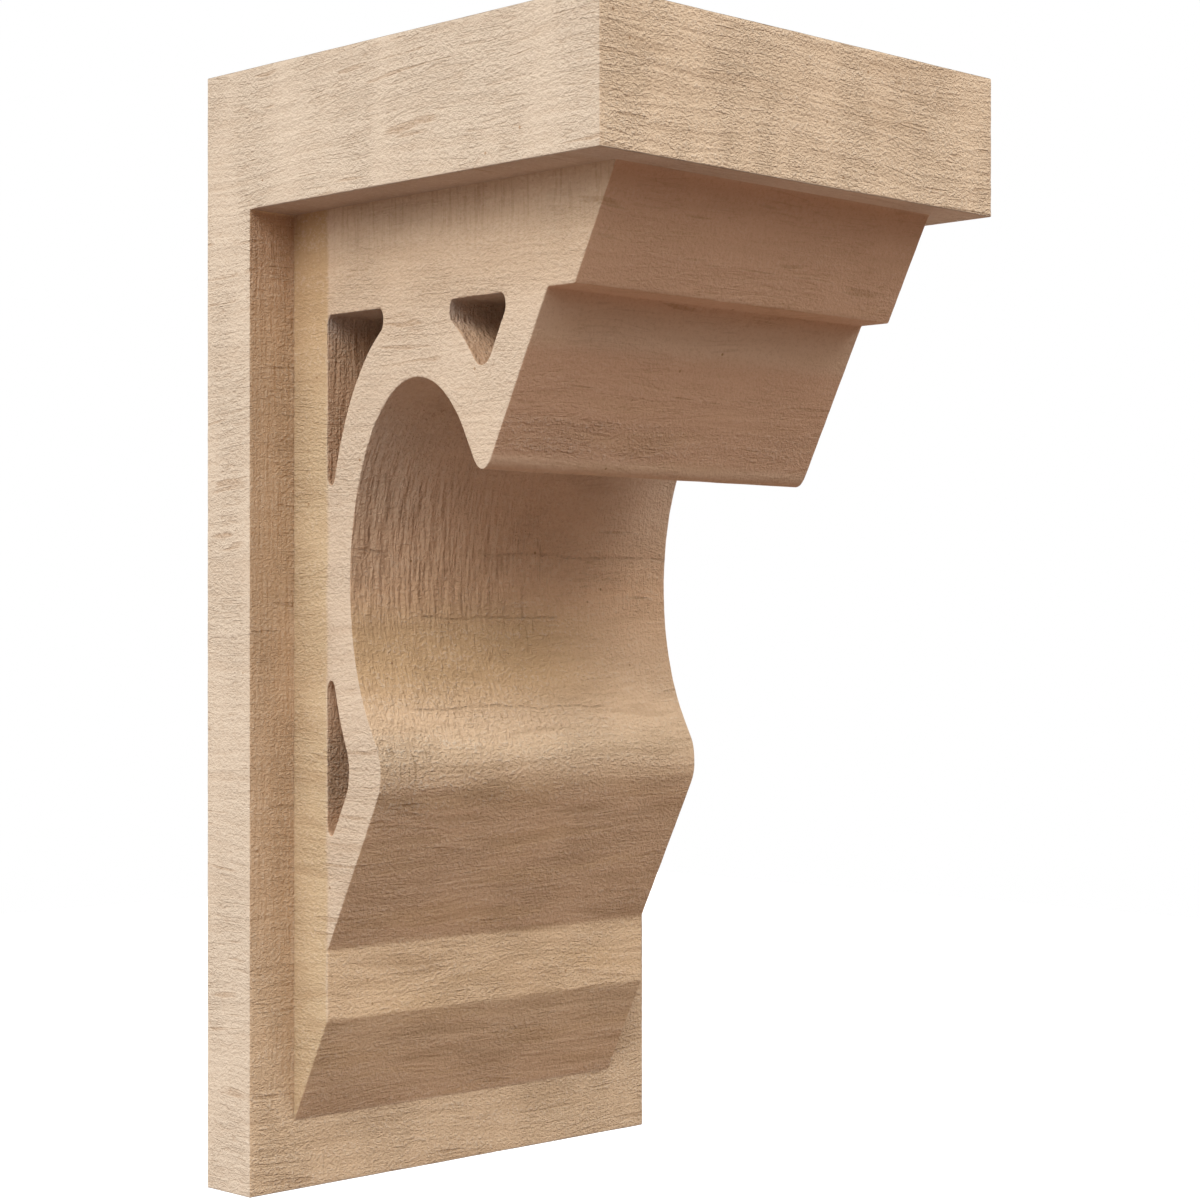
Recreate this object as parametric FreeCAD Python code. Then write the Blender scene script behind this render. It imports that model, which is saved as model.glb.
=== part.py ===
import FreeCAD, Part
import math
import os

# Rough-sawn wooden corbel: a thick square cap and a thin back plate, with a sawn bracket
# between them that is pierced by three windows. All sizes are in millimetres.
# The wall is the plane Y = 0, the front faces -Y and +Z is up. The origin lies on the wall,
# halfway across the corbel and halfway up it.

Vector = FreeCAD.Vector

# Cap, the thick plate on top, and the back plate, which stands under it against the wall.
# Their sides are flush
plate_width = 152.4
cap_depth = 152.4
cap_thickness = 38.1
back_height = 266.7
back_thickness = 19.05

# Bracket, the sawn block under the cap and in front of the back plate
bracket_width = 121.92

# Straight parts of the bracket's outline
brow_setback = 9.525     # from the cap's front edge back to the top of the brow
brow_run = 14.2875       # depth that the brow's slant loses on its way down
ledge_depth = 9.525      # level step cut back under the brow
top_rail = 28.575        # height of the brow, and of the wood above the windows
rear_rail = 14.2875      # depth of the band at the foot, and of the wood behind the windows
toe_setback = 19.05      # from the foot of the back plate up to the toe
toe_height = 28.575      # height of the slanted cut between the toe and the band
band_height = 19.05      # height of the upright band over it

# Rounds of the bracket's outline are ovals. Their radii are measured upright
oval_ratio = 0.5         # depth of a round for each unit of its height
cove_reach = 19.05       # from the long slant in to the round end of the cove
web = 19.05              # wood between the windows and the cove or the long slant
nose_round = 9.525       # chin and nose of the cove, and the window corners beside them
corner_round = 3.0       # the other corners of the windows

# Countersunk wood screws, which hold the cap and the back plate to the bracket
head_diameter = 8.4
head_angle = 82.0
shank_diameter = 4.2
point_length = 6.0
point_diameter = 1.0
recess_span = 4.4        # cross recess in the head
recess_width = 1.2
recess_depth = 1.8
screw_sink = 0.6         # head's top below the face of the wood
screw_room = 0.1         # clearance all round a screw
cap_screw_length = 57.15
cap_screw_spacing = 76.2
cap_screw_rear = 44.45   # depths of the two rows from the wall
cap_screw_front = 107.95
back_screw_length = 31.75
back_screw_spacing = 82.55
foot_screw_rise = 12.7   # from the top of the band up to the lowest row

overall_height = cap_thickness + back_height
top_level = overall_height / 2
ledge_drop = cap_thickness + top_rail
band_depth = back_thickness + rear_rail
toe_drop = overall_height - toe_setback
band_foot_drop = toe_drop - toe_height
band_top_drop = band_foot_drop - band_height
overcut = 1.0            # how far a cutting shape runs past the face it opens

# The bracket's side is laid out on a flat pattern before the depths are squeezed, so that
# every round is a circle there. X runs out from the wall and Y runs down from the cap's top


def pattern(depth, drop):
    """Point of the pattern at a real depth from the wall and drop from the top."""
    return Vector(depth / oval_ratio, drop, 0)


def place(point):
    """Point of the pattern brought to its real place in the plane X = 0."""
    return Vector(0, -point.x * oval_ratio, top_level - point.y)


def straight(start, end):
    """Straight edge between two points of the pattern."""
    return Part.LineSegment(place(start), place(end)).toShape()


def rounded(centre, start, end):
    """Edge that runs the short way round a centre of the pattern, from start to end."""
    radius = (start - centre).Length
    lowest = place(centre + Vector(0, radius, 0))
    foremost = place(centre + Vector(radius, 0, 0))
    oval = Part.Ellipse(lowest, foremost, place(centre))
    low, high = sorted((oval.parameter(place(start)), oval.parameter(place(end))))
    if high - low > math.pi:
        low, high = high, low + 2 * math.pi
    return Part.Arc(oval, low, high).toShape()


# Long slant, from the ledge under the brow down to the band
slant_top = pattern(cap_depth - brow_setback - brow_run - ledge_depth, ledge_drop)
slant_foot = pattern(band_depth, band_top_drop)
along = (slant_foot - slant_top).normalize()
inward = Vector(-along.y, along.x, 0)

# Cove, sawn square to the long slant on the pattern. The hollow round its centre, which the
# windows follow, is as large as the top rail, the rear rail and the cove's reach leave room for
rails_corner = pattern(band_depth, ledge_drop)
diagonal = Vector(1, 1, 0)
hollow_room = inward.dot(rails_corner - slant_top) - cove_reach
hollow_radius = hollow_room / -inward.dot(diagonal)
cove_radius = hollow_radius - web
cove_centre = rails_corner + diagonal * hollow_radius
mouth_middle = cove_centre - inward * cove_reach
chin = mouth_middle - along * cove_radius
nose = mouth_middle + along * cove_radius


def cove_edges():
    """The long slant with the cove in it, from the ledge to the band."""
    chin_centre = chin + (inward - along) * nose_round
    nose_centre = nose + (inward + along) * nose_round
    chin_slant = chin - along * nose_round
    chin_side = chin + inward * nose_round
    nose_side = nose + inward * nose_round
    nose_slant = nose + along * nose_round
    cove_upper = chin + inward * cove_reach
    cove_lower = nose + inward * cove_reach
    cove_deepest = cove_centre + inward * cove_radius
    return [
        straight(slant_top, chin_slant),
        rounded(chin_centre, chin_slant, chin_side),
        straight(chin_side, cove_upper),
        rounded(cove_centre, cove_upper, cove_deepest),
        rounded(cove_centre, cove_deepest, cove_lower),
        straight(cove_lower, nose_side),
        rounded(nose_centre, nose_side, nose_slant),
        straight(nose_slant, slant_foot),
    ]


def bracket_outline():
    """Closed outline of the bracket's side: brow, ledge, cove, nose, band and toe."""
    brow_depth = cap_depth - brow_setback
    head_rear = pattern(back_thickness, cap_thickness)
    brow_top = pattern(brow_depth, cap_thickness)
    brow_foot = pattern(brow_depth - brow_run, ledge_drop)
    band_foot = pattern(band_depth, band_foot_drop)
    toe = pattern(back_thickness, toe_drop)
    edges = [
        straight(head_rear, brow_top),
        straight(brow_top, brow_foot),
        straight(brow_foot, slant_top),
    ]
    edges += cove_edges()
    edges += [
        straight(slant_foot, band_foot),
        straight(band_foot, toe),
        straight(toe, head_rear),
    ]
    return Part.Wire(edges)


# Straight sides of the windows, each a point on the side and the way into the window
window_top = (rails_corner, Vector(0, 1, 0))
window_rear = (rails_corner, Vector(1, 0, 0))
window_slant = (slant_top + inward * web, inward)


def crossing(side, other, inset):
    """Where two straight sides meet once both are moved into the window by inset."""
    (point, into), (other_point, other_into) = side, other
    level = into.dot(point) + inset
    other_level = other_into.dot(other_point) + inset
    spread = into.x * other_into.y - into.y * other_into.x
    x = (level * other_into.y - other_level * into.y) / spread
    y = (into.x * other_level - other_into.x * level) / spread
    return Vector(x, y, 0)


def beside_hollow(side, tip, inset):
    """Point at inset from a side and from the hollow side, on the part towards the tip."""
    point, into = side
    level = cove_centre + into * (into.dot(point - cove_centre) + inset)
    half = math.sqrt((hollow_radius + inset) ** 2 - (level - cove_centre).Length ** 2)
    run = Vector(-into.y, into.x, 0)
    if run.dot(tip - level) < 0:
        run = run * -1
    return level + run * half


def on_side(side, centre):
    """Where a corner round of this centre touches a straight side."""
    point, into = side
    return centre - into * into.dot(centre - point)


def on_hollow(centre):
    """Where a corner round of this centre touches the hollow side."""
    return cove_centre + (centre - cove_centre).normalize() * hollow_radius


def window_outline(side, other, other_round):
    """Window with two straight sides and a hollow third side that follows the cove."""
    tip = crossing(side, other, 0)
    tip_centre = crossing(side, other, corner_round)
    side_centre = beside_hollow(side, tip, corner_round)
    other_centre = beside_hollow(other, tip, other_round)
    return Part.Wire([
        straight(on_side(side, side_centre), on_side(side, tip_centre)),
        rounded(tip_centre, on_side(side, tip_centre), on_side(other, tip_centre)),
        straight(on_side(other, tip_centre), on_side(other, other_centre)),
        rounded(other_centre, on_side(other, other_centre), on_hollow(other_centre)),
        rounded(cove_centre, on_hollow(other_centre), on_hollow(side_centre)),
        rounded(side_centre, on_hollow(side_centre), on_side(side, side_centre)),
    ])


def bracket_blank():
    """The bracket with its windows, before the screw holes."""
    windows = [
        window_outline(window_top, window_rear, corner_round),
        window_outline(window_top, window_slant, nose_round),
        window_outline(window_rear, window_slant, nose_round),
    ]
    side = Part.makeFace([bracket_outline()] + windows, "Part::FaceMakerBullseye")
    side.translate(Vector(-bracket_width / 2, 0, 0))
    return side.extrude(Vector(bracket_width, 0, 0))


def cap_blank():
    """The cap, flush with the wall, over the back plate and the bracket."""
    corner = Vector(-plate_width / 2, -cap_depth, top_level - cap_thickness)
    return Part.makeBox(plate_width, cap_depth, cap_thickness, corner)


def back_blank():
    """The back plate, from the underside of the cap to the foot of the corbel."""
    corner = Vector(-plate_width / 2, -back_thickness, -top_level)
    return Part.makeBox(plate_width, back_thickness, back_height, corner)


def turned_screw(length, room):
    """Head, shank and point of a screw grown by room, pointing down from the origin."""
    head = head_diameter / 2 + room
    shank = shank_diameter / 2 + room
    point = point_diameter / 2 + room
    head_depth = (head - shank) / math.tan(math.radians(head_angle / 2))
    outline = Part.makePolygon([
        Vector(0, 0, 0),
        Vector(head, 0, 0),
        Vector(shank, 0, -head_depth),
        Vector(shank, 0, point_length - length),
        Vector(point, 0, -length - room),
        Vector(0, 0, -length - room),
        Vector(0, 0, 0),
    ])
    return Part.Face(outline).revolve(Vector(0, 0, 0), Vector(0, 0, 1), 360)


def screw(length):
    """Screw with a cross recess in its head."""
    body = turned_screw(length, 0)
    for turn in (0, 90):
        corner = Vector(-recess_span / 2, -recess_width / 2, -recess_depth)
        slot = Part.makeBox(recess_span, recess_width, recess_depth, corner)
        slot.rotate(Vector(0, 0, 0), Vector(0, 0, 1), turn)
        body = body.cut(slot)
    return body


def screw_hole(length):
    """Hole that a screw needs, open to the face its head is sunk below."""
    mouth = Part.makeCylinder(head_diameter / 2 + screw_room, screw_sink + overcut)
    return turned_screw(length, screw_room).fuse(mouth)


def cap_screw_places():
    """Places of the cap's screws, heads up, two beside each other in each row."""
    upright = FreeCAD.Rotation()
    level = top_level - screw_sink
    return [
        FreeCAD.Placement(Vector(side * cap_screw_spacing / 2, -depth, level), upright)
        for depth in (cap_screw_rear, cap_screw_front)
        for side in (-1, 1)
    ]


def back_screw_places():
    """Places of the back plate's screws: a row in the top rail and a row over the band."""
    forward = FreeCAD.Rotation(Vector(1, 0, 0), -90)
    rail_row = cap_thickness + top_rail / 2
    foot_row = band_top_drop - foot_screw_rise
    return [
        FreeCAD.Placement(
            Vector(side * back_screw_spacing / 2, -screw_sink, top_level - drop), forward)
        for drop in (rail_row, foot_row)
        for side in (-1, 1)
    ]


def at_places(shape, places):
    """Copies of a shape, one at each place."""
    copies = []
    for spot in places:
        copy = shape.copy()
        copy.Placement = spot
        copies.append(copy)
    return copies


cap_holes = at_places(screw_hole(cap_screw_length), cap_screw_places())
back_holes = at_places(screw_hole(back_screw_length), back_screw_places())

pieces = {
    "cap": cap_blank().cut(cap_holes),
    "back_plate": back_blank().cut(back_holes),
    "bracket": bracket_blank().cut(cap_holes + back_holes),
    "cap_screws": Part.makeCompound(at_places(screw(cap_screw_length), cap_screw_places())),
    "back_screws": Part.makeCompound(at_places(screw(back_screw_length), back_screw_places())),
}

os.makedirs("parts", exist_ok=True)
for node, shape in pieces.items():
    shape.exportStep("parts/" + node + ".step")
    print(node, "solids", len(shape.Solids), "valid", shape.isValid(), "volume", round(shape.Volume))
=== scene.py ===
import math

import bmesh
import bpy
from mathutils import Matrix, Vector, geometry, kdtree, noise


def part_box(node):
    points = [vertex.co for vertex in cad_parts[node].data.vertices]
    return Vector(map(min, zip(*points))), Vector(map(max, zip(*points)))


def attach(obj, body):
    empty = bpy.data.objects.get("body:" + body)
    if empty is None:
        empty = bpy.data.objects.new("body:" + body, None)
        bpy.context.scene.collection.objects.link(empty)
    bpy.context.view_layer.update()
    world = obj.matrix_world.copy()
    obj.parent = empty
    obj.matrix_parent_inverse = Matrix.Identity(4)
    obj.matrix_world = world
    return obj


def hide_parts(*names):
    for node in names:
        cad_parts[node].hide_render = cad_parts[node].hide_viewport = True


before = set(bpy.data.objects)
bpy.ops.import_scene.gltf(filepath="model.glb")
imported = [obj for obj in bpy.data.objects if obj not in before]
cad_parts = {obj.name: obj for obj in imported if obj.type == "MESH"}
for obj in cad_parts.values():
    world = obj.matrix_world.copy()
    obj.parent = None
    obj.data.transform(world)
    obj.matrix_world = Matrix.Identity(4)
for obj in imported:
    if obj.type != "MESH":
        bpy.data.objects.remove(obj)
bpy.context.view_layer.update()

# Rough-sawn wooden corbel. Lengths are in metres: the wall is the plane Y = 0, the front
# faces -Y and +Z is up.

mm = 0.001
cap_low, cap_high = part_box("cap")
plate_low, plate_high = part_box("back_plate")
block_low, block_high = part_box("bracket")
joint_level = cap_low.z          # where the plate and the bracket meet the cap
plate_face = plate_low.y         # where the bracket meets the back plate

weld = 0.001 * mm                # points closer than this are one point
arris = 0.35 * mm                # round that handling leaves on a sawn edge
arris_fade = 3 * mm              # run in which that round begins beside a joint
board_step = 1.1 * mm            # distance between the points of a board's skin
side_step = 1.3 * mm             # the same on the bracket's sides
rim_gap = side_step * 0.6        # those points stay this far from the sides' rims
sawn_step = 1.15 * mm            # along the bracket's sawn faces
window_step = 2 * mm             # along the walls of its windows
hidden_step = 6 * mm             # along its faces that other wood covers
across_step = 1.1 * mm           # across the bracket, from side to side
screw_room = 0.1 * mm            # space round a screw
overcut = 1 * mm                 # how far a hole's cutter stands out of the wood
hole_corners = 40                # points round a hole
full_ring = 12                   # a screw's full rounds have at least this many points
shade_edge = math.radians(35)    # a sharper edge keeps its line in the shading


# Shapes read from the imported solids

def welded(node):
    """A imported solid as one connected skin."""
    skin = bmesh.new()
    skin.from_mesh(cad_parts[node].data)
    bmesh.ops.remove_doubles(skin, verts=skin.verts, dist=weld)
    return skin


def chained(edges):
    """Loose edges joined end to end into closed loops of points."""
    links = {}
    for edge in edges:
        for vert in edge.verts:
            links.setdefault(vert, []).append(edge.other_vert(vert))
    loops = []
    while links:
        loop = [next(iter(links))]
        ahead = links.pop(loop[0])[0]
        while ahead in links:
            loop.append(ahead)
            ahead = next((v for v in links.pop(ahead) if v in links), loop[0])
        loops.append(loop)
    return loops


def turned_area(loop):
    """Area inside a flat loop, positive where it turns to the left."""
    return sum(a.cross(b) for a, b in zip(loop, loop[1:] + loop[:1])) / 2


def side_outlines(node):
    """Outline and windows of a solid's left side, as points of depth and height.
    The wood lies on the left of each loop, and the outline comes first."""
    skin = welded(node)
    left = min(vert.co.x for vert in skin.verts)
    on_side = {f for f in skin.faces if all(abs(v.co.x - left) < weld for v in f.verts)}
    rim = [e for e in skin.edges if len(on_side.intersection(e.link_faces)) == 1]
    loops = [[vert.co.yz for vert in loop] for loop in chained(rim)]
    skin.free()
    loops.sort(key=lambda loop: -abs(turned_area(loop)))
    for rank, loop in enumerate(loops):
        if (turned_area(loop) > 0) != (rank == 0):
            loop.reverse()
    return loops


# Smooth outlines

longest_facet = 6 * mm           # a longer edge of the outline is a straight side
corner_turn = math.radians(15)   # a sharper turn of the outline is a corner
least_cosine = 0.3               # keeps a very sharp corner from moving too far inward


def is_hidden(point):
    """Whether a point of the bracket's outline lies against the cap or the back plate."""
    return point.x > plate_face - weld or point.y > joint_level - weld


def tangent(before, here, after):
    """Way along a round at one of its points. A straight side next to it decides."""
    back, ahead = here - before, after - here
    if back.length > longest_facet:
        return back.normalized()
    if ahead.length > longest_facet:
        return ahead.normalized()
    return (back / back.length_squared + ahead / ahead.length_squared).normalized()


def eased(start, end, leave, arrive, share):
    """Point at a share of a curve that leaves start and arrives at end in given ways."""
    reach = (end - start).length
    turn_in = start + leave * reach / 3
    turn_out = end - arrive * reach / 3
    rest = 1 - share
    return (start * rest ** 3 + turn_in * 3 * rest ** 2 * share
            + turn_out * 3 * rest * share ** 2 + end * share ** 3)


def smooth_outline(loop, open_step):
    """The loop with its rounds made smooth, its corners eased and its points evenly spread."""
    points = []
    count = len(loop)
    for place, start in enumerate(loop):
        before, end, after = loop[place - 1], loop[(place + 1) % count], loop[(place + 2) % count]
        run = end - start
        sharp_start = (start - before).angle(run) > corner_turn
        sharp_end = run.angle(after - end) > corner_turn
        way = run.normalized()
        leave = way if sharp_start else tangent(before, start, end)
        arrive = way if sharp_end else tangent(start, end, after)
        hidden = is_hidden(start) and is_hidden(end)
        trim_start = arris if sharp_start and not is_hidden(start) else 0
        trim_end = arris if sharp_end and not is_hidden(end) else 0
        if trim_start:
            ease = ((start - before).normalized() * -arris + way * arris) / 4
            points.append(start + ease)
        first, last = start + way * trim_start, end - way * trim_end
        pieces = max(1, round((last - first).length / (hidden_step if hidden else open_step)))
        shares = [step / pieces for step in range(pieces + bool(trim_end))]
        points += [eased(first, last, leave, arrive, share) for share in shares]
    return points


def inward_ways(loop):
    """For each point of a loop, how far it moves for one unit of inward offset."""
    ways = []
    for place, here in enumerate(loop):
        back = (here - loop[place - 1]).normalized()
        ahead = (loop[(place + 1) % len(loop)] - here).normalized()
        middle = (back + ahead).normalized()
        ways.append(Vector((-middle.y, middle.x)) / max(least_cosine, middle.dot(ahead)))
    return ways


# Skins of the pieces

def bezel(radius, step_count=3):
    """Offsets across and along a rounded arris, from the side face to the sawn face."""
    turns = [math.pi / 2 * step / step_count for step in range(step_count + 1)]
    return [(radius * (1 - math.sin(turn)), radius * (1 - math.cos(turn))) for turn in turns]


def even(low, high, step):
    """Places from low to high, both included, about a step apart."""
    count = max(1, round((high - low) / step))
    return [low + (high - low) * place / count for place in range(count + 1)]


def inside(point, loops):
    """Whether a flat point lies in the wood that the loops bound."""
    crossings = 0
    for loop in loops:
        for a, b in zip(loop, loop[1:] + loop[:1]):
            if (a.y > point.y) != (b.y > point.y):
                crossings += point.x < a.x + (point.y - a.y) / (b.y - a.y) * (b.x - a.x)
    return crossings % 2 == 1


def side_net(loops):
    """Triangles that fill a flat side, and the extra points that they use inside it.
    Corners are counted through the loops' points first, then through the extra points."""
    rim = [point for loop in loops for point in loop]
    tree = kdtree.KDTree(len(rim))
    for place, point in enumerate(rim):
        tree.insert(point.to_3d(), place)
    tree.balance()
    extra = []
    for row, height in enumerate(even(min(p.y for p in rim), max(p.y for p in rim), side_step)):
        for depth in even(min(p.x for p in rim), max(p.x for p in rim), side_step):
            point = Vector((depth + side_step / 2 * (row % 2), height))
            clear = tree.find(point.to_3d())[2] > rim_gap
            if clear and inside(point, loops):
                extra.append(point)
    edges, start = [], 0
    for loop in loops:
        edges += [(start + place, start + (place + 1) % len(loop)) for place in range(len(loop))]
        start += len(loop)
    places, _, triangles, sources, _, _ = geometry.delaunay_2d_cdt(rim + extra, edges, [], 1, weld)
    kept = []
    for triangle in triangles:
        middle = sum((places[corner] for corner in triangle), Vector((0, 0))) / 3
        on_rim = all(sources[corner][0] < len(rim) for corner in triangle)
        if not on_rim or inside(middle, loops):
            kept.append([sources[corner][0] for corner in triangle])
    return extra, kept


def block_skin():
    """Skin of the bracket: its outline carried from side to side, and its two flat sides."""
    outline, *windows = side_outlines("bracket")
    loops = [smooth_outline(outline, sawn_step)]
    loops += [smooth_outline(window, window_step) for window in windows]
    ways = [inward_ways(loop) for loop in loops]
    low, high = block_low.x, block_high.x
    rounds = bezel(arris)
    columns = [(low + along, inset) for inset, along in rounds]
    columns += [(x, 0) for x in even(low + arris, high - arris, across_step)[1:-1]]
    columns += [(high - along, inset) for inset, along in reversed(rounds)]
    skin = bmesh.new()
    made = []
    for x, inset in columns:
        ring = []
        for loop, way in zip(loops, ways):
            points = [
                point if is_hidden(point) else point + go * inset
                for point, go in zip(loop, way)
            ]
            ring.append([skin.verts.new((x, point.x, point.y)) for point in points])
        made.append(ring)
    for ring, following in zip(made, made[1:]):
        for near, far in zip(ring, following):
            for place in range(len(near)):
                skin.faces.new((near[place - 1], near[place], far[place], far[place - 1]))
    extra, triangles = side_net([[vert.co.yz for vert in loop] for loop in made[0]])
    for ring, x in ((made[0], low), (made[-1], high)):
        corners = [vert for loop in ring for vert in loop]
        corners += [skin.verts.new((x, point.x, point.y)) for point in extra]
        for triangle in triangles:
            skin.faces.new([corners[number] for number in triangle])
    bmesh.ops.recalc_face_normals(skin, faces=skin.faces)
    return skin


def board_places(low, high):
    """Places along one side of a board, closer together at its two arrises."""
    near = (0, arris / 3, arris)
    inner = even(low + arris, high - arris, board_step)[1:-1]
    return [low + gap for gap in near] + inner + [high - gap for gap in reversed(near)]


def board_skin(low, high):
    """Skin of a board: a net of points on each of its six faces."""
    rows = [board_places(low[axis], high[axis]) for axis in range(3)]
    skin = bmesh.new()
    made = {}

    def point(place):
        if place not in made:
            made[place] = skin.verts.new([row[number] for row, number in zip(rows, place)])
        return made[place]

    for axis in range(3):
        across, along = (axis + 1) % 3, (axis + 2) % 3
        for end in (0, len(rows[axis]) - 1):
            for i in range(len(rows[across]) - 1):
                for j in range(len(rows[along]) - 1):
                    corners = []
                    for di, dj in ((0, 0), (1, 0), (1, 1), (0, 1)):
                        place = [0, 0, 0]
                        place[axis], place[across], place[along] = end, i + di, j + dj
                        corners.append(point(tuple(place)))
                    skin.faces.new(corners if end else corners[::-1])
    return skin


def ease_arrises(skin, low, high, open_side):
    """Rounds a board's arrises, but not where open_side says that other wood meets it."""
    for vert in skin.verts:
        spot = vert.co.copy()
        core = Vector()
        for axis in range(3):
            gap = arris * open_side(spot, axis)
            core[axis] = min(max(spot[axis], low[axis] + gap), high[axis] - gap)
        out = spot - core
        if out.length > weld:
            vert.co = core + out.normalized() * max(abs(value) for value in out)


def plain_mesh(name, skin):
    """A piece made of a skin."""
    mesh = bpy.data.meshes.new(name)
    skin.to_mesh(mesh)
    skin.free()
    piece = bpy.data.objects.new(name, mesh)
    bpy.context.scene.collection.objects.link(piece)
    return piece


# Screw holes, cut to the screws that lie in them

def screws_in(node):
    """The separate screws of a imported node, each as a list of its points."""
    skin = welded(node)
    seen = set()
    screws = []
    for start in skin.verts:
        if start in seen:
            continue
        seen.add(start)
        fringe = [start]
        screw = []
        while fringe:
            vert = fringe.pop()
            screw.append(vert.co.copy())
            near = {edge.other_vert(vert) for edge in vert.link_edges} - seen
            seen |= near
            fringe += near
        screws.append(screw)
    skin.free()
    return screws


def middle_of(points):
    """Middle of the box round some points."""
    return Vector([(min(places) + max(places)) / 2 for places in zip(*points)])


def turned_rings(points, middle, axis):
    """Level of a screw's head, and the depth below it and the radius, in millimetres, of each
    full ring of points round the screw."""
    top = max(point[axis] for point in points)
    counts = {}
    for point in points:
        out = point - middle
        out[axis] = 0
        ring = (round((top - point[axis]) / mm, 2), round(out.length / mm, 2))
        counts[ring] = counts.get(ring, 0) + 1
    return top, sorted(ring for ring, count in counts.items() if count >= full_ring)


def hole_cutter(node, axis, face_level):
    """Closed shape of all the holes that a node's screws need, open to face_level."""
    across, along = (axis + 1) % 3, (axis + 2) % 3
    turns = [2 * math.pi * number / hole_corners for number in range(hole_corners)]
    cutter = bmesh.new()
    for points in screws_in(node):
        middle = middle_of(points)
        top, rings = turned_rings(points, middle, axis)
        profile = [(face_level + overcut, rings[0][1] * mm + screw_room)]
        profile += [(top - depth * mm, radius * mm + screw_room) for depth, radius in rings]
        profile[-1] = (profile[-1][0] - screw_room, profile[-1][1])
        made = []
        for level, radius in profile:
            ring = []
            for turn in turns:
                spot = middle.copy()
                spot[axis] = level
                spot[across] += radius * math.cos(turn)
                spot[along] += radius * math.sin(turn)
                ring.append(cutter.verts.new(spot))
            made.append(ring)
        for near, far in zip(made, made[1:]):
            for number in range(hole_corners):
                cutter.faces.new((near[number - 1], near[number], far[number], far[number - 1]))
        cutter.faces.new(made[0])
        cutter.faces.new(made[-1])
    bmesh.ops.recalc_face_normals(cutter, faces=cutter.faces)
    return plain_mesh(node + "_holes", cutter)


def cut_holes(piece, cutters):
    """Cuts the screw holes out of a piece."""
    for cutter in cutters:
        cut = piece.modifiers.new("holes", "BOOLEAN")
        cut.operation, cut.solver, cut.object = "DIFFERENCE", "EXACT", cutter
    seen = piece.evaluated_get(bpy.context.evaluated_depsgraph_get())
    mesh = bpy.data.meshes.new_from_object(seen)
    piece.modifiers.clear()
    piece.data = mesh


# Relief left by the saw

relief_depth = 0.12 * mm         # how deep it goes at most
relief_marks = (14 * mm, 14 * mm, 4 * mm)    # size of its marks along each axis
relief_fade = 2 * mm             # run in which it begins beside a joint
board_relief = 3.1               # picks the boards' patch of the pattern
block_relief = 8.4               # and the bracket's
cap_joint = (2, joint_level)     # plane of a joint: its axis and its place there
plate_joint = (1, plate_face)


def unevenness(spot, seed):
    """How far the saw dug in at a place, from 0 to 1."""
    scaled = Vector([value / size for value, size in zip(spot, relief_marks)])
    level = noise.fractal(scaled + Vector((seed, -seed, seed * 0.7)), 1.0, 2.0, 2)
    return min(1, max(0, (level + 1) / 2))


def off_joints(spot, joints):
    """0 where a piece meets other wood, rising to 1 a little way from there."""
    away = min(abs(spot[axis] - level) for axis, level in joints)
    return min(1, away / relief_fade)


def saw_relief(piece, joints, seed):
    """Sinks a piece's skin a little, unevenly, as a coarse saw leaves it."""
    mesh = piece.data
    normals = [vert.normal.copy() for vert in mesh.vertices]
    for vert, normal in zip(mesh.vertices, normals):
        sink = relief_depth * unevenness(vert.co, seed)
        vert.co -= normal * sink * off_joints(vert.co, joints)


# Pieces

def open_cap(spot, axis):
    """1 where a side of the cap is open to wear, 0 where the back plate meets it."""
    under = axis == 2 and spot.z < (cap_low.z + cap_high.z) / 2
    return min(1, max(0, (plate_face - spot.y) / arris_fade)) if under else 1


def open_plate(spot, axis):
    """1 where a side of the back plate is open to wear, 0 where the cap meets it."""
    return 0 if axis == 2 and spot.z > 0 else 1


def make_board(name, low, high, open_side):
    """The cap or the back plate, which meet each other and the bracket at the cap's underside."""
    skin = board_skin(low, high)
    ease_arrises(skin, low, high, open_side)
    piece = plain_mesh(name, skin)
    saw_relief(piece, [cap_joint], board_relief)
    return piece


def make_bracket():
    piece = plain_mesh("sawn_bracket", block_skin())
    saw_relief(piece, [cap_joint, plate_joint], block_relief)
    return piece


cap_cutter = hole_cutter("cap_screws", 2, cap_high.z)
back_cutter = hole_cutter("back_screws", 1, 0)

wooden = {
    "cap": (make_board("sawn_cap", cap_low, cap_high, open_cap), [cap_cutter]),
    "back_plate": (make_board("sawn_back_plate", plate_low, plate_high, open_plate), [back_cutter]),
    "bracket": (make_bracket(), [cap_cutter, back_cutter]),
}
for node, (piece, cutters) in wooden.items():
    cut_holes(piece, cutters)
    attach(piece, "root")
    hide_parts(node)
    piece.data.shade_smooth()
    piece.data.set_sharp_from_angle(angle=shade_edge)
for cutter in (cap_cutter, back_cutter):
    bpy.data.objects.remove(cutter)


# Plain arithmetic on shader sockets

class Field:
    """A value that varies over a surface, for use in plain arithmetic."""

    def __init__(self, sheet, socket):
        self.sheet, self.socket = sheet, socket

    def worked(self, operation, *values):
        """What a Math node makes of some fields or numbers."""
        return self.sheet.field("Math", {"operation": operation}, dict(enumerate(values)))

    def __add__(self, other):
        return self.worked("ADD", self, other)

    def __sub__(self, other):
        return self.worked("SUBTRACT", self, other)

    def __mul__(self, other):
        return self.worked("MULTIPLY", self, other)

    def __truediv__(self, other):
        return self.worked("DIVIDE", self, other)

    def __pow__(self, other):
        return self.worked("POWER", self, other)

    def __rsub__(self, other):
        return self.worked("SUBTRACT", other, self)

    def __rtruediv__(self, other):
        return self.worked("DIVIDE", other, self)

    def __abs__(self):
        return self.worked("ABSOLUTE", self)

    __radd__ = __add__
    __rmul__ = __mul__


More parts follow.
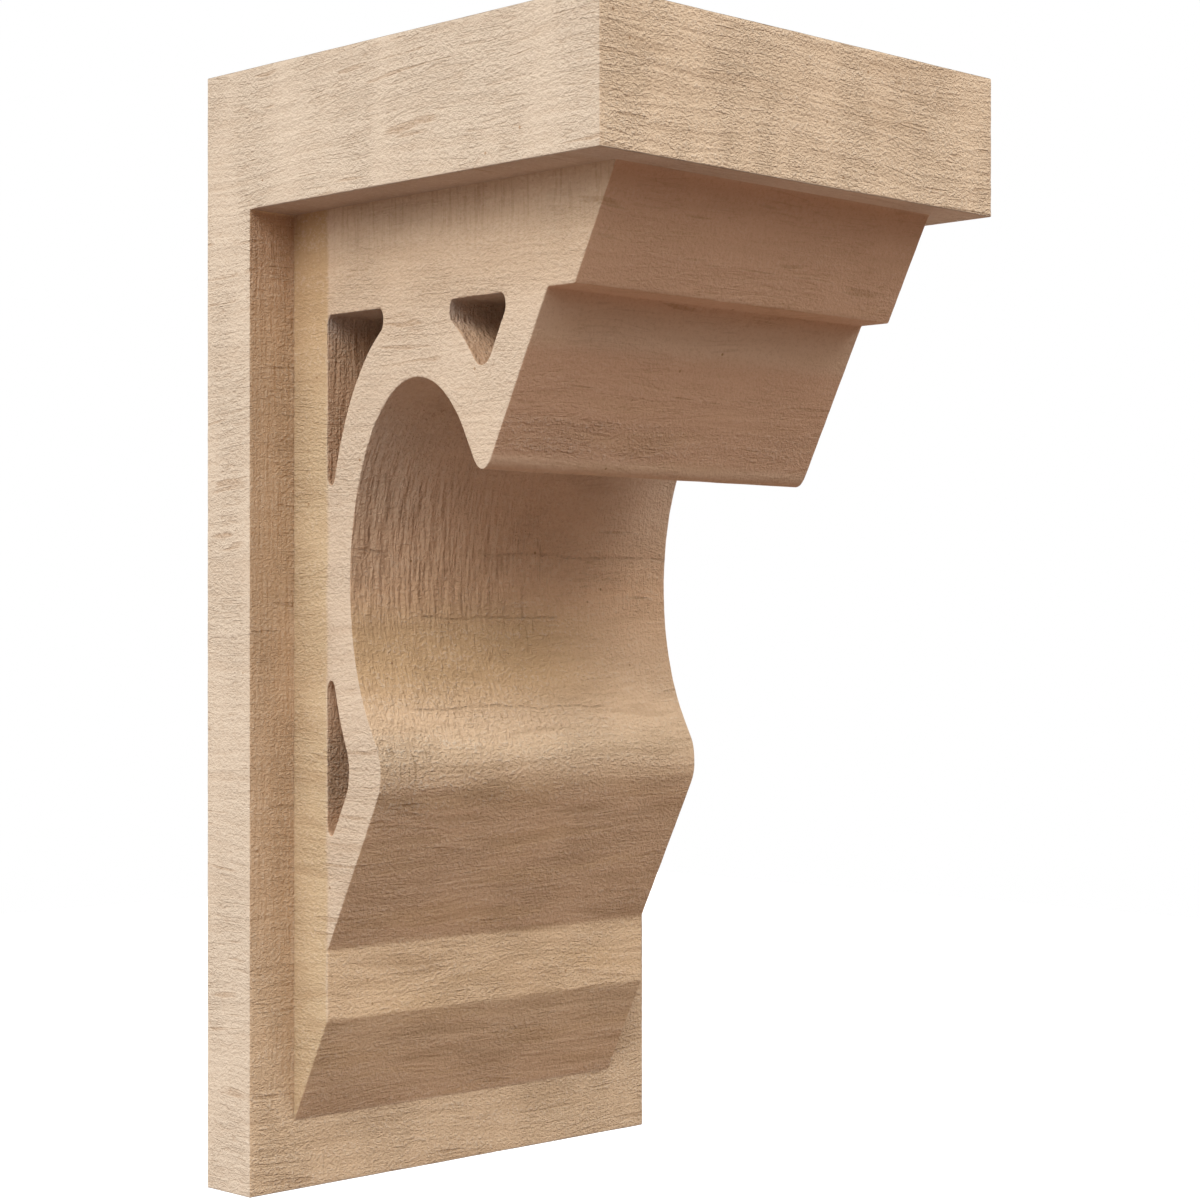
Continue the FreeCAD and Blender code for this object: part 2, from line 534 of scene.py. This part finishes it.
class Sheet:
    """The node sheet of a material or of the world."""

    def __init__(self, owner):
        owner.use_nodes = True
        self.tree = owner.node_tree
        self.tree.nodes.clear()

    def node(self, kind, settings=None, inputs=None, stops=None):
        """A node: its settings and ramp stops first, then values or links for its sockets."""
        made = self.tree.nodes.new("ShaderNode" + kind)
        for name, value in (settings or {}).items():
            setattr(made, name, value)
        if stops:
            ramp = made.color_ramp.elements
            while len(ramp) < len(stops):
                ramp.new(0)
            for element, (place, colour) in zip(ramp, stops):
                element.position, element.color = place, colour
        for name, value in (inputs or {}).items():
            if isinstance(value, Field):
                self.tree.links.new(value.socket, made.inputs[name])
            else:
                made.inputs[name].default_value = value
        return made

    def field(self, kind, settings=None, inputs=None, output=0, stops=None):
        """The same as a field, read from one of the node's outputs."""
        return Field(self, self.node(kind, settings, inputs, stops).outputs[output])

    def parts(self, vector):
        """The three parts of a vector, each as a field."""
        split = self.node("SeparateXYZ", inputs={0: vector})
        return [Field(self, output) for output in split.outputs]

    def spread(self, spot, size):
        """A place counted in steps of a given size along each axis, in millimetres."""
        steps = [1 / (length * mm) for length in size]
        return self.field("VectorMath", {"operation": "MULTIPLY"}, {0: spot, 1: steps})

    def noise(self, spot, size, detail=2, fine=0.5):
        """Noise from 0 to 1, with features of a given size. Fine is the strength of its detail."""
        return self.field("TexNoise", {}, {
            "Vector": self.spread(spot, size), "Scale": 1, "Detail": detail, "Roughness": fine,
        })

    def rise(self, value, low, high, bottom=0, top=1):
        """Goes softly from bottom to top while a value goes from low to high."""
        values = {"Value": value, "From Min": low, "From Max": high, "To Min": bottom, "To Max": top}
        return self.field("MapRange", {"interpolation_type": "SMOOTHSTEP"}, values)

    def blend(self, first, second, share):
        """One colour passing into another."""
        return self.field("Mix", {"data_type": "RGBA"}, {0: share, 6: first, 7: second}, 2)

    def tones(self, place, stops):
        """Colours that pass into each other along a place, each stop a place and a colour."""
        low, high = stops[0][0], stops[-1][0]
        shares = [((stop - low) / (high - low), colour) for stop, colour in stops]
        return self.field("ValToRGB", {}, {0: (place - low) / (high - low)}, stops=shares)

    def surface(self, shader, output="Material"):
        """Sends a finished shader to the surface."""
        self.node("Output" + output, inputs={"Surface": Field(self, shader.outputs[0])})


# Wood tones

# Cap and back plate: end grain, fronts, and the faces that look up and down. Painted light and
# shade: the cap's front is lighter to make up for the weaker light on it, the back plate's front is
# lighter at its foot and darker under the cap, and the cap's underside is darker towards its back
# and left, by the inner corner
board_end = (0.74, 0.605, 0.465, 1)
board_front = (0.90, 0.68, 0.47, 1)
plate_front = (0.76, 0.54, 0.35, 1)
plate_lit_foot = (0.79, 0.57, 0.37, 1)
plate_shaded_top = (0.68, 0.445, 0.285, 1)
cap_top = (0.70, 0.55, 0.405, 1)
cap_under_shaded = (0.555, 0.43, 0.345, 1)
cap_under_lit = (0.82, 0.655, 0.495, 1)

# Bracket: its sides, warmer and darker at the top in painted shade under the cap, and golden by the
# wall, partly a band in the wood and partly painted warm bounce light and shade from the corner; its
# windows, with painted shade at their tops; and its chin, with painted light along its top and its
# round bottom
block_end = (0.73, 0.58, 0.435, 1)
end_shaded_under_cap = (0.70, 0.52, 0.36, 1)
sapwood_and_bounce = (0.68, 0.51, 0.32, 1)
sapwood_shaded_top = (0.59, 0.395, 0.22, 1)
window_walls = (0.72, 0.49, 0.32, 1)
window_tops_shaded = (0.54, 0.44, 0.37, 1)
chin_face = (0.715, 0.46, 0.30, 1)
chin_lit_edges = (0.77, 0.555, 0.385, 1)

# Bracket: its sawn face under the chin, with a painted shadow just above the band and painted shade
# in the cove's roof under the chin
toe_face_and_step_shadow = (0.735, 0.50, 0.32, 1)
band_face = (0.82, 0.585, 0.37, 1)
shin_face = (0.78, 0.535, 0.34, 1)
nose_edge = (0.86, 0.63, 0.415, 1)
cove_back = (0.86, 0.57, 0.355, 1)
cove_roof_shaded = (0.75, 0.58, 0.435, 1)
cove_gold = (0.71, 0.475, 0.265, 1)

# Marks in the grain, and the painted shade in the fibres' hollows and the painted highlight on the
# arrises that share their colours
torn_grain_and_pit_shade = (0.40, 0.225, 0.11, 1)
streak_grain = (0.48, 0.30, 0.17, 1)
pale_grain_and_highlight = (0.86, 0.72, 0.57, 1)

# Where the tones of the sawn face lie, from the foot up, in millimetres above the middle
sawn_tones = [
    (-133, toe_face_and_step_shadow),
    (-104, band_face),
    (-86, band_face),
    # painted shadow just above the band's top step
    (-84, toe_face_and_step_shadow),
    (-44, shin_face),
    (-33, nose_edge),
    (-8, shin_face),
    (12, cove_back),
    # painted shade: darker and greyer in the cove's roof under the chin
    (52, cove_roof_shaded),
]


# Places on the corbel in millimetres: heights above its middle, and depths from the wall

cap_level = joint_level / mm     # underside of the cap
ledge_level = 85.7               # underside of the brow
chin_level = 41.6                # lowest part of the chin
chin_tip = 95                    # the cove begins there, nearer to the wall than this
nose_level = -43                 # where the cove ends in the nose
gold_level = -6                  # middle of a golden patch in the cove
ridge_level = 3.5                # where the saw's deep ridges end in the cove
cove_cracks = (22, 4, -21)       # long cracks across the cove
golden_strip_depth = 33.3             # the golden strip, partly a band in the wood and partly painted warm bounce light and shade, shows nearer to the wall than this
cove_depth = 42.6                # the cove comes no nearer to the wall than this
cove_top = 66.9                  # and no higher than this
window_foot = -55                # bottom of the lowest window
chin_depth = 106                 # the chin's face is further from the wall than this

# Heights between which one tone or mark passes into the next
foot_to_front = (-145, -60)      # the back plate's foot and its front: painted light, lighter towards the foot
front_to_top = (75, 112)         # its front and its top, painted darker there as shade under the cap
walls_to_tops = (76, 86)         # the windows' walls and their tops, painted darker as shade
cool_to_warm = (70, 100)         # the bracket's sides and the painted shade on them under the cap
gold_to_brown = (45, 105)        # its golden strip and the painted shade on it under the cap
smooth_above = (20, 30)          # the chin and the brow are smooth
deep_below = (58, 34)            # the saw's ridges deepen, below the cove's round top
streaks_above = (92, 112)        # dark streaks on the bracket's sides
lines_below = (30, -40)          # the level lines darken
bands_below = (90, -40)          # and so do the level bands

# Places from the middle to the left (-) and right (+) between which they pass
ridges_left_of = (30, -20)       # the saw's ridges in the cove
upright_left_of = (35, 5)        # upright furrows in place of level dashes
gold_left_of = (50, 0)           # the golden patch


# Sizes of the marks in millimetres, across, outwards and upwards

bend_size = (80, 80, 45)         # slow bends of the level lines and bands
line_size = (36, 36, 2.6)        # long level lines
band_size = (45, 45, 6)          # broad level bands
furrow_size = (1.2, 1.2, 16)     # short upright furrows
fibre_size = (1.15, 1.15, 0.8625)
pinhole_spacing = (10.5, 10.5, 10.5)
board_patches = (14, 14, 45)     # rougher patches on the boards
block_patches = (27, 27, 15)     # and on the bracket
ridge_size = (2.9, 60, 13)       # the saw's ridges in the cove
crack_bend_size = (14, 14, 14)   # bends of the long cracks
golden_strip_bend_size = (9, 9, 22)   # and of the golden strip's edge

# How far the marks bend and how deep they are, in millimetres
bend_reach = 14
crack_bend_reach = 3.5
golden_strip_bend_reach = 2
board_fibre_depth = 0.78
block_fibre_depth = 0.95
dash_depth = 0.4
line_depth = 0.65
crease_depth = 0.11
furrow_depth = 0.6
ridge_depth = 2.8
crack_depth = 0.5

# How far the marks change the wood's colour, from 0 to 1, with the painted shade in the fibres'
# hollows and the painted highlight on the arrises
board_line_stain = 0.14
board_band_stain = 0.2
golden_strip_stain = 0.22
face_band_stain = 0.24
gold_band_share = 0.35
streak_share = 0.35
pit_shade_share = 0.16
hole_share = 0.7
crease_share = 0.17
tuft_share = 0.3
wear_and_highlight_share = 0.15


def largest(first, *others):
    """The largest of several fields at each place."""
    for other in others:
        first = first.worked("MAXIMUM", first, other)
    return first


class Wood(Sheet):
    """The node sheet of sawn wood. It holds what the patterns read, places in millimetres and
    the way that the skin faces, and the layers that they build up."""

    def __init__(self, material, seed):
        super().__init__(material)
        spot = self.field("TexCoord", output="Object")
        shift = (seed, seed * 0.7, -seed)
        self.away = self.field("VectorMath", {"operation": "ADD"}, {0: spot, 1: shift})
        self.x, self.y, self.z = [part / mm for part in self.parts(spot)]
        self.facing = self.parts(self.field("TexCoord", output="Normal"))
        self.on_side = self.rise(abs(self.facing[0]), 0.5, 0.9)
        self.off_side = 1 - self.on_side

    def lay_grain(self):
        """Lays the pattern of a board's front down on the faces that look up and down."""
        along, across, above = self.parts(self.away)
        laid = self.field("CombineXYZ", {}, {0: along, 1: above, 2: across})
        self.away = self.blend(self.away, laid, self.rise(abs(self.facing[2]), 0.4, 0.8))

    def saw_marks(self):
        """Long level lines that bend a little like the grain, the fine cracks along them,
        broad level bands and short upright furrows."""
        bend = (self.noise(self.away, bend_size, 1) - 0.5) * bend_reach * mm
        bent = self.field("CombineXYZ", {}, {2: bend})
        bent = self.field("VectorMath", {"operation": "ADD"}, {0: self.away, 1: bent})
        self.line = self.noise(bent, line_size, 2, 0.6)
        self.crease = self.rise(abs(self.line - 0.47), 0.03, 0.005)
        self.band = self.noise(bent, band_size, 1)
        self.furrow = self.noise(self.away, furrow_size, 2, 0.55)

    def torn_fibres(self, depth, patches, marks):
        """Short fibres, deeper in rough patches, with dashes torn where the marks are highest
        and a few pinholes."""
        patch = self.noise(self.away, patches, 1)
        self.rough = self.rise(patch, 0.3, 0.68, 0.7, 1.3)
        self.fibre = self.noise(self.away, fibre_size, 2, 0.85)
        dash = self.rise(marks, 0.62, 0.7) * self.rise(patch, 0.36, 0.5) * 0.5
        cell = {"Vector": self.spread(self.away, pinhole_spacing), "Scale": 1}
        pinhole = self.rise(self.field("TexVoronoi", {}, cell), 0.05, 0.03)
        self.hole = largest(dash, pinhole)
        self.height = (self.fibre - 0.5) * self.rough * depth - dash * dash_depth


def colour_boards(wood):
    """Colours the cap and the back plate, with painted light and shade, and says how coarse and how
    furrowed they are.
    """
    x, y, z, upward = wood.x, wood.y, wood.z, wood.facing[2]
    over = wood.rise(z, cap_level - 1, cap_level)
    # painted light and shade: the plate's front lighter at its foot and darker under the cap
    plate = wood.blend(plate_lit_foot, plate_front, wood.rise(z, *foot_to_front))
    plate = wood.blend(plate, plate_shaded_top, wood.rise(z, *front_to_top))
    # the cap's front is painted lighter, to make up for the weaker light on it
    front = wood.blend(plate, board_front, over)
    under = wood.rise(upward, -0.1, -0.35)
    # painted shade: the cap's underside darker towards its back and left, by the inner corner
    shade = wood.blend(cap_under_shaded, cap_under_lit, wood.rise(x * 0.5 - y, 20, 190))
    front = wood.blend(front, shade, under)
    front = wood.blend(front, cap_top, wood.rise(upward, 0.3, 0.7))
    wood.colour = wood.blend(front, board_end, wood.on_side)
    wood.coarse = 0.85 + wood.off_side * 0.45 - under * 0.45
    wood.furrowed = (1 - over) * wood.off_side + 0.15


def dress_boards(wood):
    """Layers of the cap and the back plate."""
    wood.lay_grain()
    wood.saw_marks()
    wood.torn_fibres(board_fibre_depth, board_patches, wood.line)
    colour_boards(wood)
    wood.height = wood.height * wood.coarse
    wood.line_stain = board_line_stain
    wood.band_stain = wood.off_side * board_band_stain
    wood.streak = 0


def window_faces(wood):
    """1 on the walls of the bracket's three windows, told by their place alone."""
    y, z = wood.y, wood.z
    return largest(
        wood.rise(y, -cove_depth, 0.3 - cove_depth) * wood.rise(z, window_foot - 1, window_foot),
        wood.rise(y + z, 5, 7),
        wood.rise(z, cove_top, cove_top + 0.4) * wood.rise(y, -chin_depth, 1 - chin_depth),
    )


def cove_face(wood):
    """1 in the cove, from behind the chin's tip down to the nose."""
    above_nose = wood.rise(wood.z, nose_level, nose_level + 4)
    return above_nose * wood.rise(wood.y, -chin_tip - 1, -chin_tip)


def colour_block(wood, window, cove):
    """Colours the bracket, with painted light and shade, and says how coarse and how furrowed it is.
    """
    x, y, z, on_side, off_side = wood.x, wood.y, wood.z, wood.on_side, wood.off_side
    gold = wood.rise(abs(z - gold_level), 20, 4) * wood.rise(x, *gold_left_of)
    inner = wood.blend(wood.tones(z, sawn_tones), cove_gold, gold * cove)
    # painted light along the chin's top under the ledge and along its round bottom
    edge = largest(wood.rise(abs(z - ledge_level + 7), 9, 3), wood.rise(z, 47, 43.5) * 0.8)
    chin = wood.blend(chin_face, chin_lit_edges, edge)
    inner = wood.blend(chin, inner, largest(cove, wood.rise(z, 0, -1)))
    # painted shade at the windows' tops
    walls = wood.blend(window_walls, window_tops_shaded, wood.rise(z, *walls_to_tops))
    front = wood.blend(inner, walls, window)
    # painted shade on the bracket's sides under the cap
    end = wood.blend(block_end, end_shaded_under_cap, wood.rise(z, *cool_to_warm))
    # golden strip by the wall: partly a band in the wood, partly painted warm bounce light, with
    # painted shade under the cap
    golden_strip_tone = wood.blend(sapwood_and_bounce, sapwood_shaded_top, wood.rise(z, *gold_to_brown))
    bend = wood.noise(wood.away, golden_strip_bend_size, 1) * golden_strip_bend_reach
    end = wood.blend(end, golden_strip_tone, wood.rise(y + bend, -golden_strip_depth, 2 - golden_strip_depth))
    wood.colour = wood.blend(front, end, on_side)
    calm = wood.rise(z, *smooth_above) * (1 - cove) * off_side
    jaw = wood.rise(abs(z - chin_level - 9), 6, 3) * wood.rise(x, 60, -60, 0.4, 1)
    lip = wood.rise(abs(z - nose_level - 5), 14, 6) * wood.rise(x, 60, -50, 0.1, 0.9)
    wood.coarse = 1 - calm * (0.62 - jaw * 0.9) + lip * off_side - on_side * 0.2
    wood.furrowed = cove * off_side * wood.rise(x, 45, -45, 0.5, 1.3) + 0.12


def cove_relief(wood):
    """Height of the saw's ridges in the cove, and the long broken cracks across it."""
    ridge = wood.noise(wood.away, ridge_size, 2, 0.6)
    strong = wood.rise(wood.z, ridge_level, ridge_level + 2, 0.35, 1)
    strong = strong * wood.rise(wood.x, *ridges_left_of, 0.15, 1)
    strong = strong * wood.rise(wood.z, *deep_below, 0.4, 1)
    bend = (wood.noise(wood.away, crack_bend_size, 1) - 0.5) * crack_bend_reach
    crack = 0
    for level in cove_cracks:
        crack = crack + wood.rise(abs(wood.z - level + bend), 0.6, 0.1)
    crack = crack * wood.rise(wood.fibre, 0.42, 0.6) * wood.rise(wood.rough, 0.8, 1)
    return (ridge - 0.5) * strong * wood.rough * ridge_depth - crack * crack_depth, crack


def dress_block(wood):
    """Layers of the bracket, with a golden strip by the wall, partly a band in the wood and partly
    painted warm bounce light and shade, and ridges in the cove.
    """
    x, y, z, on_side, off_side = wood.x, wood.y, wood.z, wood.on_side, wood.off_side
    window, cove = window_faces(wood), cove_face(wood)
    bare = cove * off_side * (1 - window)
    upright = bare * wood.rise(x, *upright_left_of)
    wood.saw_marks()
    marks = wood.line + (wood.furrow - wood.line) * upright
    wood.torn_fibres(block_fibre_depth, block_patches, marks)
    colour_block(wood, window, cove)
    ridges, crack = cove_relief(wood)
    wood.height = wood.height * wood.coarse + (bare + window * off_side * 0.7) * ridges
    wood.hole = largest(wood.hole, crack * bare * 0.5)
    wood.crease = wood.crease * (1 - upright * 0.7)
    low_face = wood.rise(z, *bands_below, 0.3, 1) * (1 - cove) * off_side
    golden_strip_side = on_side * wood.rise(y, -golden_strip_depth - 1, 1 - golden_strip_depth)
    wood.line_stain = wood.rise(z, *lines_below, 0.08, 0.32)
    wood.band_stain = golden_strip_side * golden_strip_stain + low_face * face_band_stain
    golden = wood.rise(wood.band, 0.47, 0.33) * low_face * gold_band_share
    wood.colour = wood.blend(wood.colour, cove_gold, golden)
    streak = wood.rise(wood.furrow, 0.5, 0.64) * wood.rise(z, *streaks_above)
    wood.streak = streak * on_side * streak_share


def sawn_wood(name, seed, dress):
    """Rough-sawn unfinished wood. Seed shifts the pattern from board to board, and dress
    builds up the layers of one kind of piece."""
    material = bpy.data.materials.new(name)
    wood = Wood(material, seed)
    dress(wood)
    crease = wood.crease * wood.rise(wood.rough, 0.85, 1.2, 0.1, 1)
    level = (wood.line - 0.5) * (line_depth - wood.furrowed * 0.25) - crease * crease_depth
    furrows = (wood.furrow - 0.5) * wood.furrowed * furrow_depth
    height = wood.height + level * wood.coarse + furrows
    stain = wood.streak + wood.rise(wood.line, 0.48, 0.3) * wood.line_stain
    stain = stain + wood.rise(wood.band, 0.54, 0.7) * wood.band_stain
    tuft = wood.rise(wood.fibre * 0.75 + wood.line * 0.25, 0.53, 0.63)
    # painted shade in the hollows between the fibres
    shaded_hollow = wood.rise(wood.fibre, 0.48, 0.36)
    # torn marks, pinholes and cracks, with the painted shade of the hollows
    torn = shaded_hollow * pit_shade_share + wood.hole * hole_share + crease * crease_share
    # lighter on the arrises: partly wear, partly a painted highlight
    worn_and_highlit = wood.rise(wood.field("NewGeometry", output="Pointiness"), 0.53, 0.58)
    colour = wood.blend(wood.colour, streak_grain, stain)
    colour = wood.blend(colour, pale_grain_and_highlight, tuft * wood.coarse * tuft_share)
    colour = wood.blend(colour, torn_grain_and_pit_shade, torn)
    colour = wood.blend(colour, pale_grain_and_highlight, worn_and_highlit * wear_and_highlight_share)
    bump = wood.field("Bump", {}, {"Height": height, "Strength": 1, "Distance": mm})
    shader = wood.node("BsdfPrincipled", inputs={
        "Base Color": colour,
        "Roughness": wood.rise(wood.fibre, 0.35, 0.65, 0.95, 0.75),
        "Specular IOR Level": 0.08,
        "Normal": bump,
    })
    wood.surface(shader)
    return material


board_wood = sawn_wood("sawn_board", 0.3, dress_boards)
block_wood = sawn_wood("sawn_block", 1.7, dress_block)
for node, (piece, _) in wooden.items():
    piece.data.materials.clear()
    piece.data.materials.append(block_wood if node == "bracket" else board_wood)


# Steel

steel_dark = (0.50, 0.50, 0.48, 1)
steel_bright = (0.66, 0.65, 0.62, 1)
mottle_size = (1.5, 1.5, 1.5)    # in millimetres
grit_size = (0.2, 0.2, 0.2)
grit_depth = 0.05 * mm


def zinc_steel():
    """Zinc-plated screw steel with a faint mottle."""
    material = bpy.data.materials.new("zinc_steel")
    sheet = Sheet(material)
    spot = sheet.field("TexCoord", output="Object")
    mottle = sheet.noise(spot, mottle_size, 3)
    grit = sheet.noise(spot, grit_size, 2)
    bump = sheet.field("Bump", {}, {"Height": grit, "Strength": 0.3, "Distance": grit_depth})
    shader = sheet.node("BsdfPrincipled", inputs={
        "Base Color": sheet.blend(steel_dark, steel_bright, mottle),
        "Metallic": 1,
        "Roughness": sheet.rise(mottle, 0.3, 0.7, 0.32, 0.5),
        "Normal": bump,
    })
    sheet.surface(shader)
    return material


steel = zinc_steel()
for node in ("cap_screws", "back_screws"):
    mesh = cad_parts[node].data
    mesh.materials.clear()
    mesh.materials.append(steel)


# Camera at the photograph's place

photo_size = 1200
focal_pixels = 2679.04
horizon_row = 632.85
camera_turn = math.radians(45.03)
camera_place = Vector((-520.54, -596.44, 0.09)) * mm

lens = bpy.data.cameras.new("camera")
lens.sensor_width = 36
lens.lens = focal_pixels / photo_size * lens.sensor_width
lens.shift_y = (horizon_row - photo_size / 2) / photo_size
lens.clip_start, lens.clip_end = 0.01, 100
camera = bpy.data.objects.new("camera", lens)
camera.location = camera_place
camera.rotation_euler = (math.pi / 2, 0, -camera_turn)
bpy.context.scene.collection.objects.link(camera)
bpy.context.scene.camera = camera


# Floor and light

def white_to_camera(sheet):
    """1 for the rays that show the background as it is: direct, mirrored or seen through."""
    path = sheet.node("LightPath")
    kinds = ("Is Camera Ray", "Is Glossy Ray", "Is Transmission Ray")
    return largest(*[Field(sheet, path.outputs[kind]) for kind in kinds])


floor_level = -0.62
floor_reach = 4.5                        # from its middle to its sides
floor_warmth = (0.23, 0.16, 0.13, 1)     # what the floor sends back up to the object
floor_white = (0.95, 0.95, 0.95, 1)      # what the camera sees of it
floor_lift = 0.3                         # and the light that it adds to that

# Soft lamps: azimuth from the front towards the right and height, both in degrees, then how
# narrow and how strong each is.
lamps = {
    "key": (-60, 42, 14, 5.1),
    "front": (30, 42, 14, 4.7),
    "left": (-105, 25, 6, 2.3),
    "right": (120, 15, 6, 1.7),
    "rear": (180, 10, 6, 1.6),
}


def make_floor():
    mesh = bpy.data.meshes.new("floor")
    signs = ((-1, -1), (1, -1), (1, 1), (-1, 1))
    corners = [(x * floor_reach, y * floor_reach, floor_level) for x, y in signs]
    mesh.from_pydata(corners, [], [(0, 1, 2, 3)])
    floor = bpy.data.objects.new("floor", mesh)
    bpy.context.scene.collection.objects.link(floor)
    material = bpy.data.materials.new("pale_floor")
    mesh.materials.append(material)
    sheet = Sheet(material)
    warm = sheet.field("BsdfDiffuse", {}, {"Color": floor_warmth})
    pale = sheet.field("BsdfDiffuse", {}, {"Color": floor_white})
    lift = sheet.field("Emission", {}, {"Strength": floor_lift})
    white = sheet.field("AddShader", {}, {0: pale, 1: lift})
    shader = sheet.node("MixShader", inputs={0: white_to_camera(sheet), 1: warm, 2: white})
    sheet.surface(shader)


def make_sky():
    world = bpy.data.worlds.new("studio")
    bpy.context.scene.world = world
    sheet = Sheet(world)
    way = sheet.field("TexCoord", output="Generated")
    light = 0
    for azimuth, height, narrow, strength in lamps.values():
        turn, tilt = math.radians(azimuth), math.radians(height)
        towards = (math.sin(turn) * math.cos(tilt), -math.cos(turn) * math.cos(tilt), math.sin(tilt))
        near = sheet.field("VectorMath", {"operation": "DOT_PRODUCT"}, {0: way, 1: towards}, "Value")
        light = light + near.worked("MAXIMUM", near, 0) ** narrow * strength
    lit = sheet.field("Background", {}, {"Color": (1, 1, 1, 1), "Strength": light})
    white = sheet.field("Background", {}, {"Color": (1, 1, 1, 1), "Strength": 1})
    shader = sheet.node("MixShader", inputs={0: white_to_camera(sheet), 1: lit, 2: white})
    sheet.surface(shader, "World")


make_floor()
make_sky()

bpy.context.scene.view_settings.view_transform = "Standard"
